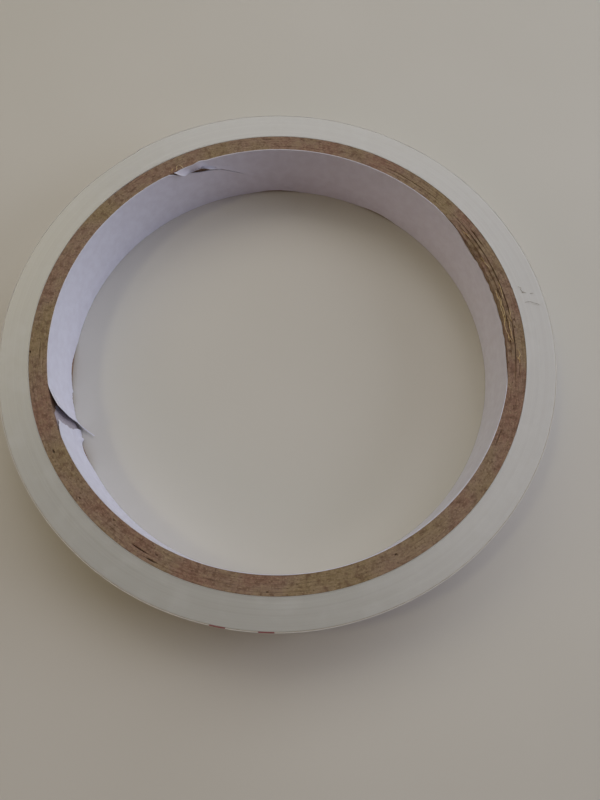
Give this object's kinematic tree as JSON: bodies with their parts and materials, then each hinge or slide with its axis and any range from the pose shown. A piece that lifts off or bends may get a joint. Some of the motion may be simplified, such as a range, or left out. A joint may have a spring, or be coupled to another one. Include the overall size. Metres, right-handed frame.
{
  "type": "adhesive tape roll",
  "caption": "Flat ring-shaped roll of narrow release-lined adhesive tape on a spiral-wound kraft paper core with a white inner ply, partly torn; the free end peels off.",
  "frame": {"origin": "centre of the lower side face, on the roll's axis", "axes": "+Z along the roll's axis and out of its upper side face; the free end peels off at the +Y side"},
  "size_m": [0.0924, 0.0924, 0.012],
  "materials": {
    "inner_ply_paper": "matt white machine-finished paper, faint fibre",
    "kraft_paperboard": "raw knife-cut edge of brown recycled kraft board, fibrous and pitted",
    "wound_tape": "slit side face of many turns of tape and liner, milky, slightly waxy",
    "adhesive_tissue": "tissue soaked in clear tacky adhesive, glossy",
    "release_liner": null
  },
  "bodies": {
    "roll": {"inner_ply_long_piece": "inner_ply_paper", "inner_ply_short_piece": "inner_ply_paper", "kraft_ply_1": "kraft_paperboard", "kraft_ply_2": "kraft_paperboard", "kraft_ply_3": "kraft_paperboard", "kraft_ply_4": "kraft_paperboard", "kraft_ply_5": "kraft_paperboard", "tape_winding": "wound_tape", "outer_turn_adhesive": "adhesive_tissue", "outer_turn_liner": "release_liner"},
    "tape_end_1": {"tape_end_adhesive_1": "adhesive_tissue", "tape_end_liner_1": "release_liner"},
    "tape_end_2": {"tape_end_adhesive_2": "adhesive_tissue", "tape_end_liner_2": "release_liner"},
    "tape_end_3": {"tape_end_adhesive_3": "adhesive_tissue", "tape_end_liner_3": "release_liner"},
    "tape_end_4": {"tape_end_adhesive_4": "adhesive_tissue", "tape_end_liner_4": "release_liner"},
    "tape_end_5": {"tape_end_adhesive_5": "adhesive_tissue", "tape_end_liner_5": "release_liner"},
    "tape_end_6": {"tape_end_adhesive_6": "adhesive_tissue", "tape_end_liner_6": "release_liner"},
    "tape_end_7": {"tape_end_adhesive_7": "adhesive_tissue", "tape_end_liner_7": "release_liner"},
    "tape_end_8": {"tape_end_adhesive_8": "adhesive_tissue", "tape_end_liner_8": "release_liner"},
    "torn_flap": {"torn_flap": "inner_ply_paper"}
  },
  "joints": [
    {"name": "tape_end_peel", "type": "hinge", "parent": "roll", "child": "tape_end_1", "pos_m": [0.0271, 0.0373, 0.006], "axis": [0, 0, -1], "range_deg": [0, 90]},
    {"name": "tape_end_bend_2", "type": "hinge", "parent": "tape_end_1", "child": "tape_end_2", "pos_m": [0.02093, 0.04108, 0.006], "axis": [0, 0, -1], "range_deg": [0, 12]},
    {"name": "tape_end_bend_3", "type": "hinge", "parent": "tape_end_2", "child": "tape_end_3", "pos_m": [0.01425, 0.04385, 0.006], "axis": [0, 0, -1], "range_deg": [0, 12]},
    {"name": "tape_end_bend_4", "type": "hinge", "parent": "tape_end_3", "child": "tape_end_4", "pos_m": [0.00721, 0.04554, 0.006], "axis": [0, 0, -1], "range_deg": [0, 12]},
    {"name": "tape_end_bend_5", "type": "hinge", "parent": "tape_end_4", "child": "tape_end_5", "pos_m": [0, 0.04611, 0.006], "axis": [0, 0, -1], "range_deg": [0, 12]},
    {"name": "tape_end_bend_6", "type": "hinge", "parent": "tape_end_5", "child": "tape_end_6", "pos_m": [-0.00721, 0.04554, 0.006], "axis": [0, 0, -1], "range_deg": [0, 12]},
    {"name": "tape_end_bend_7", "type": "hinge", "parent": "tape_end_6", "child": "tape_end_7", "pos_m": [-0.01425, 0.04385, 0.006], "axis": [0, 0, -1], "range_deg": [0, 12]},
    {"name": "tape_end_bend_8", "type": "hinge", "parent": "tape_end_7", "child": "tape_end_8", "pos_m": [-0.02093, 0.04108, 0.006], "axis": [0, 0, -1], "range_deg": [0, 12]},
    {"name": "torn_flap_bend", "type": "hinge", "parent": "roll", "child": "torn_flap", "pos_m": [-0.0361, -0.01104, 0.006], "axis": [0, 0, 1], "range_deg": [-24, 55]}
  ],
  "couplings": [
    {"joint": "tape_end_bend_2", "follows": "tape_end_peel", "ratio": 0.13333},
    {"joint": "tape_end_bend_3", "follows": "tape_end_peel", "ratio": 0.13333},
    {"joint": "tape_end_bend_4", "follows": "tape_end_peel", "ratio": 0.13333},
    {"joint": "tape_end_bend_5", "follows": "tape_end_peel", "ratio": 0.13333},
    {"joint": "tape_end_bend_6", "follows": "tape_end_peel", "ratio": 0.13333},
    {"joint": "tape_end_bend_7", "follows": "tape_end_peel", "ratio": 0.13333},
    {"joint": "tape_end_bend_8", "follows": "tape_end_peel", "ratio": 0.13333}
  ]
}
